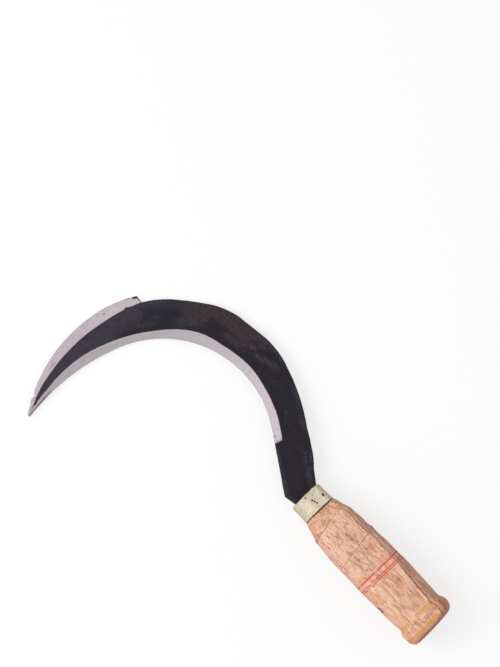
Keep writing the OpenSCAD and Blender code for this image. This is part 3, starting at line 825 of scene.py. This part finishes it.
def make_brad():
    """The nail: a low, beaten head in the ferrule's hole, and its shank in the wood."""
    foot = BRAD_FACE_R - FERRULE_WALL - BRAD_FIT
    top = BRAD_FACE_R - BRAD_SINK
    # radius, and distance from the handle's axis
    profile = [(0.02, foot - BRAD_LEN), (0.3, foot - BRAD_LEN + 0.6), (BRAD_SHANK_R, foot - BRAD_LEN + 2),
               (BRAD_SHANK_R, foot - 0.05), (BRAD_HEAD_R, foot), (BRAD_HEAD_R, top - 0.25),
               (BRAD_HEAD_R * 0.85, top - 0.06), (BRAD_HEAD_R * 0.45, top), (0.02, top)]
    r, z = np.array(profile).T[:, :, None]
    angle = np.linspace(0, 2 * pi, 40, endpoint=False)[None, :]
    z = z + 0.05 * noise(angle * 1.5 + 9, z, 31) * (r < BRAD_HEAD_R) + 0 * angle
    local = np.stack([r * np.cos(angle), r * np.sin(angle), z], -1)
    turn = np.array(Matrix.Rotation(BRAD_TURN, 3, "Y"))
    piece = ringed("brad_rusty", local @ turn.T + np.array([0, BRAD_Y, 0]), {})
    dress(piece, "ferrule_brad", iron_finish())


# The handle

NECK_R = 13.9
SHOULDER_Y = HANDLE_LEN - 14.5
SHOULDER_R = 18.2
GRIP_R = 20.7
GRIP_AT = 57
WAIST_R = 19.4
BEAD_LEN = 15.5
BEAD_R = 21.6
BUTT_R = 17
BUTT_ROUND = 5.5
SWELL = 2.1
BEAD_FALL = 1.8
FRONT_H = 14.3
FRONT_SLOPE = radians(2.5)
FRONT_TURN = radians(7.5)
# rings (radius, place) of the tenon inside the ferrule and its end
TENON = [(12.8, HANDLE_LEN), (12.5, ROOT_Y), (8, ROOT_Y), (0.5, ROOT_Y)]
# shares of the butt's radius at which its end face has rings
BUTT_RINGS = (0.05, 0.3, 0.55, 0.8, 0.93)
# rows of points along the wood, closer together at the bead and the neck, and columns round it, of which
# this share lies on its left and front
HANDLE_ROWS = [(0, 16, 0.3), (16, 104, 0.5), (104, HANDLE_LEN, 0.3)]
HANDLE_COLUMNS = 330
FRONT_SHARE = 0.62
# the radius at which turns round the wood are taken as millimetres
CHIP_R = 20

# how far the hand that planed the front left it above or below a true plane, along the handle
FRONT_BOW = [(0, 0.3), (9, 0.3), (13, -0.4), (17, -1), (21, -0.9), (28, -0.3), (36, 0.15), (45, 0.3), (53, 0),
             (61, 0.1), (72, 0), (84, 0.05), (90, 0.15), (100, -0.45), (107, -0.8), (112, -0.8)]
# where the planed front ends and the whittled neck begins, from left to right, and how deep the neck is cut
LEDGE = [(-21, 104.2), (-18.7, 105.1), (-15.5, 106.5), (-12.9, 107.2), (-7.3, 107.8), (-0.7, 109.4),
         (7, 110.3), (13, 110.6)]
LEDGE_DROP = 0.7
NECK_FALL = 0.12
# how strongly the wood is split at the planed front's right corner, and grooved beside it, along the handle
SPLIT = [(0, 0.1), (10, 0.25), (14, 0.6), (17, 1), (44, 1), (52, 0.65), (62, 0.6), (75, 0.55), (84, 0.9),
         (100, 0.75), (112, 0.3)]
GROOVED = [(0, 0.5), (8, 0.8), (15, 0.9), (45, 0.85), (60, 0.6), (85, 0.85), (105, 0.7), (114, 0.3),
           (122, 0.1)]
# knots that the streaks bend round: from the axis, along, size
GRAIN_KNOTS = [(-6.5, 82.5, 2.2), (-5.2, 75.5, 1.6), (-4.6, 65, 1.8), (4.7, 100.5, 1.6), (-13.4, 38, 2),
               (-2.8, 34.5, 1.8), (2, 90, 1.4)]
# dark arcs on the pommel, deep grooves, stains round knots and cracks in the wood, and then tan patches, all
# as seen from above: from the axis, along, half sizes, strength
STAINS = [
    (11.8, 14.2, 0.6, 1.6, 1.2), (12.8, 10.4, 0.65, 2.6, 1.2), (12.7, 5.8, 0.6, 2.6, 1),
    (12, 2.2, 0.6, 1.5, 1.1), (15.4, 13.9, 0.55, 1.7, 1), (16.9, 10.4, 0.6, 2.2, 1),
    (17.5, 6.6, 0.6, 2.2, 0.9), (16.5, 3.2, 0.55, 1.7, 0.8), (15.6, 29, 0.42, 9, 0.72),
    (15.4, 44, 0.42, 5, 0.55), (17.4, 22, 0.38, 6, 0.5), (-6.2, 82.8, 1.5, 1.8, 1),
    (-7.2, 84.8, 0.8, 1.6, 0.8), (-5.1, 75.4, 0.7, 2.6, 0.95), (-5.9, 79, 0.7, 1.6, 0.85),
    (-5.4, 65.5, 1.9, 0.5, 1), (-3.4, 63.8, 0.6, 1.5, 0.9), (-4.2, 75, 0.9, 0.8, 0.8),
    (5.2, 100.6, 1.3, 1.2, 0.75), (5.9, 103, 0.7, 2.2, 0.5), (1.7, 95, 0.8, 2.4, 0.6), (2.1, 89, 0.8, 2, 0.7),
    (2.9, 86, 1.2, 0.7, 0.6), (-8.9, 26.3, 0.7, 2.2, 0.75), (-9.1, 92, 0.6, 2.6, 0.6),
    (-12.5, 45, 0.5, 2.2, 0.4), (3.5, 28, 0.6, 3, 0.4), (-2.3, 34.5, 0.9, 1.5, 0.6), (6, 44, 0.7, 2, 0.4),
    (-0.5, 6.5, 1.5, 1.2, 0.5), (-5.5, 9, 1.5, 1.5, 0.5), (4.5, 9, 2, 1.5, 0.5), (9.5, 9.5, 2, 1.4, 0.5),
    (-11.5, 10, 1.6, 1.3, 0.45), (-17.3, 107.5, 1.4, 1, 0.9), (-13.7, 109.6, 2.6, 0.8, 0.75),
    (-12.8, 8.8, 0.45, 1.8, 0.9), (-10.9, 8.2, 0.4, 1.5, 0.85), (1, 8.4, 0.5, 1.5, 0.85),
    (-2.6, 7.4, 0.5, 1.2, 0.8), (3.6, 8.6, 0.45, 1.3, 0.85), (5.6, 7.8, 0.4, 1.4, 0.7),
    (8.2, 8.4, 0.4, 1.2, 0.7), (-15, 13.2, 4, 0.4, 0.65), (-9, 11.4, 3.6, 0.4, 0.7),
    (-16.5, 9.2, 0.5, 1.6, 0.6)
]
TANS = [
    (1.5, 109.4, 1.4, 1.6, 1), (8.5, 100, 1.2, 2, 0.8), (1.5, 94.5, 2, 5, 0.9), (5, 76, 6, 5, 0.85),
    (1.5, 67, 2.4, 2.4, 0.8), (1, 52, 3.4, 1.8, 0.8), (-13, 38.2, 2, 2.6, 1), (-2.3, 35, 2.4, 2.6, 0.9),
    (4.5, 43, 3.5, 5, 0.6), (-12.5, 61, 3, 4, 0.5), (4.5, 119, 6, 3, 0.8), (-5.5, 113, 6, 2.5, 0.7),
    (12.5, 105, 2, 4, 0.6), (-16.5, 74, 1.5, 4, 0.7), (9.5, 13, 4, 2, 0.6), (-1.5, 21, 5, 3, 0.5),
    (-9, 52, 3, 3, 0.5), (7, 32, 2, 5, 0.5), (-6, 46, 2, 4, 0.5), (8, 64, 3, 4, 0.5),
    (-10.5, 88, 1.6, 6, 0.55), (10.5, 92, 1.8, 5, 0.55), (-3.5, 98, 1.6, 4, 0.6), (7.5, 87, 1.2, 4, 0.5)
]
# where the paint is worn through, and the red dot, as seen from above: from the axis, along, half sizes,
# how much
PAINT_GAPS = [(-18, 59.8, 0.5, 1.5, 1), (-15.7, 54.7, 0.7, 2, 1), (-10.4, 54.7, 0.9, 2, 1),
              (-13, 53.9, 0.8, 0.6, 0.9), (-1.5, 60.3, 1.6, 0.7, 0.8), (9, 60.6, 0.9, 0.5, 0.7),
              (-7, 15.4, 2.2, 1.2, 0.8), (-5, 12.4, 6, 1.2, 0.9), (-15, 12.4, 2.5, 1.2, 0.7),
              (-14, 4.3, 2, 0.8, 0.4)]
RED_DOT = [(13, 114.6, 0.75, 0.75, 1)]
# swellings and chips on the outline: turn from the top in degrees, along, half width, half length, height
CHIPS = [
    (88, 86.8, 3, 2, 0.35), (90, 80.2, 3, 1.5, -0.5), (89, 76, 3, 1.6, 0.4), (89, 76.4, 3, 0.9, -1),
    (-84, 87, 5, 18, 0.42), (-84, 102, 4, 5, 0.25), (84, 113.5, 5, 2, -0.4), (85, 121, 6, 3, -0.65),
    (-88, 36.5, 2.2, 2.2, -0.7), (-86, 110.5, 4, 3, -0.2), (-86, 106.2, 3, 1.6, 0.5), (-82, 98, 4, 5, 0.3),
    (-84, 84, 4, 6, 0.25), (86, 62, 4, 9, -0.05), (86, 100, 4, 5, -0.2), (88, 1, 7, 3.5, -0.8),
    (-88, 1.5, 7, 3, -0.8), (-88, 11.5, 8, 2.5, 0.3), (88, 28, 6, 12, -0.2), (86, 78, 4, 5, -0.35),
    (86, 90.5, 4, 3, -0.65), (86, 96, 4, 3, -0.2), (-84, 114.6, 4, 2, -0.2)
]
# the dark knot on the left side: its turn from the top, its place along, its half sizes and depth
KNOT_TURN = radians(-77)
KNOT_AT = 36.7
KNOT_HALF_WIDTH = 2.7
KNOT_HALF_LENGTH = 2.9
KNOT_DEPTH = 0.35


def turned_radius(y):
    """Radius of the turned wood: butt, pommel bead, waist, swelling grip, neck."""
    low = BEAD_R - (BEAD_R - BUTT_R) * (1 - np.sqrt(np.clip(1 - (1 - y / BUTT_ROUND)**2, 0, 1)))
    past_bead = rise(y, BUTT_ROUND, BEAD_LEN)**BEAD_FALL
    bead = WAIST_R + (BEAD_R - WAIST_R) * (1 + np.cos(pi * past_bead)) / 2
    down = GRIP_R - (GRIP_R - WAIST_R) * (1 - rise(y, BEAD_LEN, GRIP_AT))**SWELL
    up = GRIP_R - (GRIP_R - SHOULDER_R) * rise(y, GRIP_AT, SHOULDER_Y)**SWELL
    neck = SHOULDER_R + (NECK_R - SHOULDER_R) * rise(y, SHOULDER_Y, HANDLE_LEN)
    grip = np.where(y < GRIP_AT, down, up)
    return np.where(y < BUTT_ROUND, low, np.where(y < BEAD_LEN, bead, np.where(y < SHOULDER_Y, grip, neck)))


def front_height(y):
    """The planed front's height above the axis."""
    return FRONT_H + (SHOULDER_Y - y) * np.tan(FRONT_SLOPE) + smooth_through(y, FRONT_BOW)


def front_corner(y):
    """The turn from the top at which the planed front meets the turned right side."""
    return FRONT_TURN + np.arccos(np.clip(front_height(y) / turned_radius(y), 0, 0.985))


def fibres(x, y, z):
    """The wood's own coordinates for its streaks: they lean, wander, and bend round the knots."""
    bent = x + 0.03 * (y - 60) + 1.3 * noise(x / 16 + 40, y / 32, 51)
    long = np.where(y < 50, 0.6 * y, 1.2 * y - 30)
    for kx, ky, size in GRAIN_KNOTS:
        near = np.exp(-((y - ky) / (2.2 * size))**2 - np.abs(x - kx) / (1.6 * size))
        bent = bent - 0.9 * size * np.tanh((x - kx) / size) * near
    return np.stack([bent, long + 0 * bent, z + 0 * bent], -1)


def make_handle():
    """The wood: turned, planed flat in front and below, whittled at the neck, and chipped with age."""
    y = stepped(*HANDLE_ROWS)[:, None]
    radius = turned_radius(y)
    corner = front_corner(y)
    part = np.linspace(0, 1, HANDLE_COLUMNS, endpoint=False)[None, :]
    angle = np.where(part < FRONT_SHARE, -pi + (corner + pi) * part / FRONT_SHARE,
                     corner + (pi - corner) * (part - FRONT_SHARE) / (1 - FRONT_SHARE))
    side = np.sin(angle)
    up = np.cos(angle)

    # the turned surface, cut by the planed front, the whittled neck and the planed underside
    from_ledge = y - smooth_through(radius * side, LEDGE)
    past = np.clip(from_ledge, 0, None)
    raised = 0.25 * peak(from_ledge, -0.6, 0.6)
    plane = front_height(y) - LEDGE_DROP * ramp(past, 0, 0.8) - NECK_FALL * past + raised
    flat = plane / np.clip(np.cos(angle - FRONT_TURN), 0.05, None)
    # the front's corner is sharp on the right, and soft on the left and at the pommel
    rounding = 0.25 + 1.4 * (1 - ramp(y, 11, 18)) + 3.6 * ramp(-side, 0, 0.35)
    drop = -(side * rest[2, 0] + up * rest[2, 2])
    below = (butt[2] / MM + y * rest[2, 1]) / np.clip(drop, 0.05, None)
    r = lower(lower(radius + 0 * angle, flat, rounding), below, 0.3)

    # places on this plain surface, for all that roughens and colours it
    x = r * side
    z = r * up
    seen_x = x + LEAN_X * z
    seen_y = y + LEAN_Y * z
    above = up > 0
    arc = radius * (angle - corner)
    grain = fibres(x, y, z)

    # grain, lumps, the neck's small cuts, the split's furrow, the knot and the chips
    split = smooth_through(y, SPLIT)
    beside = arc - 0.7 * (1 - ramp(y, 42, 58))
    furrow = 0.35 * split * peak(beside, 0, 0.6)
    fibre = grain[:, :, 0]
    rough = 0.09 * noise(fibre / 0.9 + 50, y / 9, 41) + 0.05 * noise(fibre / 0.5 + 50, y / 5, 42)
    lumpy = 0.12 * noise(angle * 2 + 20, y / 16, 43)
    neck_cuts = 0.35 * noise(angle * 5 + 20, y / 2 + x / 6, 45) + 0.15 * noise(angle * 11 + 20, y / 1.1, 50)
    gap = 0.5 * ramp(y, HANDLE_LEN - 0.8, HANDLE_LEN - 0.1)
    r = r + rough + lumpy - furrow + neck_cuts * ramp(past, 0.2, 1.5) - gap
    r = r + ramp(arc, -0.1, 0.7) * (up > -0.2) * 0.22 * noise(arc * 0.8 + 90, y / 12, 46)
    from_knot = np.hypot(CHIP_R * (angle - KNOT_TURN) / KNOT_HALF_WIDTH, (y - KNOT_AT) / KNOT_HALF_LENGTH)
    from_knot = from_knot + 0.3 * noise(angle * 8 + 20, y / 2.4, 54)
    knot = ramp(1.1 - from_knot, -0.25, 0.25)
    r = r - KNOT_DEPTH * knot
    for turn, at, half_width, half_length, height in CHIPS:
        r = r + height * peak(CHIP_R * (angle - radians(turn)), 0, half_width) * peak(y, at, half_length)
    r = np.minimum(r, below)
    askew = 0.045 * r * side * (1 - ramp(y, 0, 12))
    rings = np.stack([r * side, y + askew, r * up], -1)

    # painted shade in the gap beside the ferrule and under the butt's lower rim, and the knot's own dark rings
    knot_and_shade = 0.95 * ramp(y, HANDLE_LEN - 0.95, HANDLE_LEN - 0.45)
    knot_rings = np.sin(10 * from_knot + 2 * noise(angle * 20 + 20, y / 0.9, 55))
    knot_and_shade = np.maximum(knot_and_shade, knot * (0.46 + 0.12 * knot_rings + 0.14 * ramp(from_knot, 0.4, 0.9)))
    rim_shade = ramp(-0.1 - up, 0, 0.5) * ramp(-4 - x, 0, 4) * (0.8 + 0.5 * noise(x / 2, 0 * x, 57))
    knot_and_shade = np.maximum(knot_and_shade, 0.4 * rim_shade * (1 - ramp(y, 0.2, 2.5)))

    # stains, and at the ledge a painted shadow at its foot and a painted highlight on its lip
    stains_and_shade = spots(seen_x, seen_y, STAINS) * above
    stains_and_shade = np.maximum(stains_and_shade, 0.3 * ramp(-up, 0.1, 0.6) * ramp(noise(x / 5 + 9, y / 14, 47), -0.1, 0.7))
    from_ledge = y - smooth_through(x, LEDGE)
    ledge_shadow = peak(from_ledge, 0.5, 0.45) * (0.35 + 0.65 * ramp(-3 - x, -8, 8)) * (up > -0.2)
    stains_and_shade = np.maximum(stains_and_shade, 0.9 * ledge_shadow)
    ledge_highlight = peak(from_ledge, -0.4, 0.7) * ramp(x, -17, -9) * above
    tan = np.maximum(spots(seen_x, seen_y, TANS) * above, 0.2 * (past > 0))

    # painted shade on the turned right side, away from the lamp, and older, darker wood at the butt and pommel
    age_and_shade = 0.28 * ramp(arc, -0.3, 1.5) * (up > -0.3)
    age_and_shade = np.maximum(age_and_shade * (0.75 + 0.5 * noise(arc * 0.8 + 90, y / 9, 52)), 0.45 * (1 - ramp(y, 0.5, 3.5)))
    age_and_shade = np.maximum(age_and_shade, 0.55 * ramp(arc, -1, 3) * (1 - ramp(y, 10, 17)) * (up > -0.3))
    age_and_shade = np.maximum(age_and_shade, 0.5 * (1 - ramp(y, 4, 13)) * (0.6 + 0.6 * noise(x / 2.2 + 30, y / 2.2, 53)))
    pale = ramp(3 - x, 0, 6) * ramp(y, 55, 70) * above * ramp(112 - y, 0, 6)

    # grooves on the right side, below and on the pommel
    grooved = smooth_through(y, GROOVED) * ramp(arc, -0.6, 0.3) * (1 - 0.6 * ramp(arc, 12, 22))
    grooved = np.maximum(grooved, 0.45 * (up < -0.1))
    grooved = np.maximum(grooved, 0.8 * ramp(arc, -0.6, 0.3) * (1 - ramp(y, 13, 18)) * (up > -0.3))

    # the pommel's painted lines end at the planed front's corner, and all lines are worn through in places
    painted = 1 - np.maximum(ramp(arc, -0.5, 1), ramp(x, 8, 10) * (y < 8)) * (y < 20) * above
    painted = painted * (1 - np.clip(spots(seen_x, seen_y, PAINT_GAPS) * 1.4, 0, 1) * above)
    dot = spots(seen_x, seen_y, RED_DOT) * above

    # the butt's end below the first ring, and the tenon above the last one
    ends = np.array(BUTT_RINGS)[:, None]
    bottom = np.stack([rings[0, :, 0] * ends, askew[0] * ends + 0.02, rings[0, :, 2] * ends], -1)
    bottom[:, :, 1] += 0.12 * noise(bottom[:, :, 0] / 2 + 30, bottom[:, :, 2] / 2 + 30, 48) * (1 - ends)
    top = [np.stack([size * side[0], np.full(HANDLE_COLUMNS, at), size * up[0]], -1) for size, at in TENON]

    def with_ends(values, low=0, high=0):
        """A mark's values on the wood, with its value on the butt's end and on the tenon."""
        return np.concatenate([np.full((len(bottom), HANDLE_COLUMNS), low), values + 0 * angle,
                               np.full((len(top), HANDLE_COLUMNS), high)])

    knot_and_shade = with_ends(knot_and_shade, 0.05, 0.1)
    # painted shade on the butt's end face, near its lower rim
    knot_and_shade[:len(bottom)] += 0.4 * ends**2 * rim_shade[0]
    strip = np.stack([beside, y + 0 * arc, 0 * arc], -1)
    marks = {"knot_and_shade": knot_and_shade, "stains_and_shade": with_ends(stains_and_shade, 0.5, 0.3), "tan": with_ends(tan, 0.5),
             "age_and_shade": with_ends(age_and_shade, 0.9), "grooved": with_ends(grooved), "split": with_ends(split),
             "pale": with_ends(pale), "lip_highlight": with_ends(ledge_highlight), "scribed": with_ends(up > 0.02),
             "painted": with_ends(painted), "dot": with_ends(dot),
             "fibre": np.concatenate([bottom, grain, top]), "corner": np.concatenate([bottom, strip, top])}
    whole = np.concatenate([bottom, rings, top])
    piece = ringed("handle_worn", whole[::-1], {name: values[::-1] for name, values in marks.items()})
    cut(piece, slot_tool(), brad_tool(BRAD_SHANK_R + BRAD_FIT, 4, 20))
    dress(piece, "handle", wood_finish())


def slot_tool():
    """The space of the tang inside the wood."""
    end = TANG_END_W / 2 + TANG_FIT
    side = TANG_W / 2 + TANG_FIT
    half = TANG_T / 2 + TANG_FIT
    corners = [(-end, TANG_END_Y - TANG_FIT), (end, TANG_END_Y - TANG_FIT), (side, ROOT_Y), (side, MOUTH_Y),
               (-side, MOUTH_Y), (-side, ROOT_Y)]
    points = [(px, py, z) for z in (-half, half) for px, py in corners]
    n = len(corners)
    faces = [tuple(range(n))[::-1], tuple(range(n, 2 * n))]
    faces += [(i, (i + 1) % n, n + (i + 1) % n, n + i) for i in range(n)]
    return meshed("slot_tool", points, faces)


make_blade()
make_ferrule()
make_brad()
make_handle()

# The camera, straight above, as the photograph was taken: sizes in metres

FRAME_SEES = 0.50025
FRAME_MIDDLE = (0.078, 0.0806)
CAMERA_HEIGHT = 1.2
FRAME_TURN = radians(-44.2)

# The floor and the light

FLOOR_HALF = 6
FLOOR_LIT = 0.3
FLOOR_GLOW = 0.72
SKY = 0.62
LAMP_SIZE = 1.3
LAMP_DISTANCE = 1.8
LAMP_WATTS = 16
# from where the lamp shines, by the photograph's right and up, and height above the table
LAMP_FROM = (-1, -0.1, 1)


def make_camera():
    """The camera that sees what the photograph shows."""
    camera = bpy.data.cameras.new("camera")
    camera.type = "ORTHO"
    camera.ortho_scale = FRAME_SEES
    seat = in_scene("camera", camera)
    seat.location = (*FRAME_MIDDLE, CAMERA_HEIGHT)
    seat.rotation_euler = (0, 0, FRAME_TURN)
    bpy.context.scene.camera = seat


def make_floor():
    """A plain pale floor that takes soft shadows and glows evenly white."""
    half = FLOOR_HALF
    corners = [(-half, -half, 0), (half, -half, 0), (half, half, 0), (-half, half, 0)]
    mesh = bpy.data.meshes.new("floor")
    mesh.from_pydata(corners, [], [(0, 1, 2, 3)])
    material = bpy.data.materials.new("white_floor")
    f = Nodes(material)
    f.tree.nodes.clear()
    lit = f.node("ShaderNodeBsdfDiffuse", {"Color": (FLOOR_LIT, FLOOR_LIT, FLOOR_LIT)})
    power = f.times(f.seen_directly(), FLOOR_GLOW)
    glow = f.node("ShaderNodeEmission", {"Color": (1, 1, 1), "Strength": power})
    both = f.node("ShaderNodeAddShader", {0: lit.outputs[0], 1: glow.outputs[0]})
    f.node("ShaderNodeOutputMaterial", {"Surface": both.outputs[0]})
    mesh.materials.append(material)
    in_scene("floor", mesh)


def make_world():
    """Even white light from all round, softer on the sickle than where it is seen."""
    world = bpy.data.worlds.new("world")
    bpy.context.scene.world = world
    f = Nodes(world)
    strength = f.node("ShaderNodeMapRange", {"Value": f.seen_directly(), "To Min": SKY, "To Max": 1})
    sky = f.tree.nodes["Background"]
    f.put(sky.inputs["Color"], (1, 1, 1))
    f.put(sky.inputs["Strength"], strength.outputs[0])


def make_lamp():
    """A soft square lamp that shines on the sickle's middle."""
    lamp = bpy.data.lights.new("key", "AREA")
    lamp.size = LAMP_SIZE
    lamp.energy = LAMP_WATTS
    seat = in_scene("key", lamp)
    way = (Matrix.Rotation(FRAME_TURN, 3, "Z") @ Vector(LAMP_FROM)).normalized()
    seat.location = way * LAMP_DISTANCE
    seat.rotation_mode = "QUATERNION"
    seat.rotation_quaternion = way.to_track_quat("Z", "Y")


make_camera()
make_floor()
make_world()
make_lamp()

bpy.context.scene.view_settings.view_transform = "Standard"
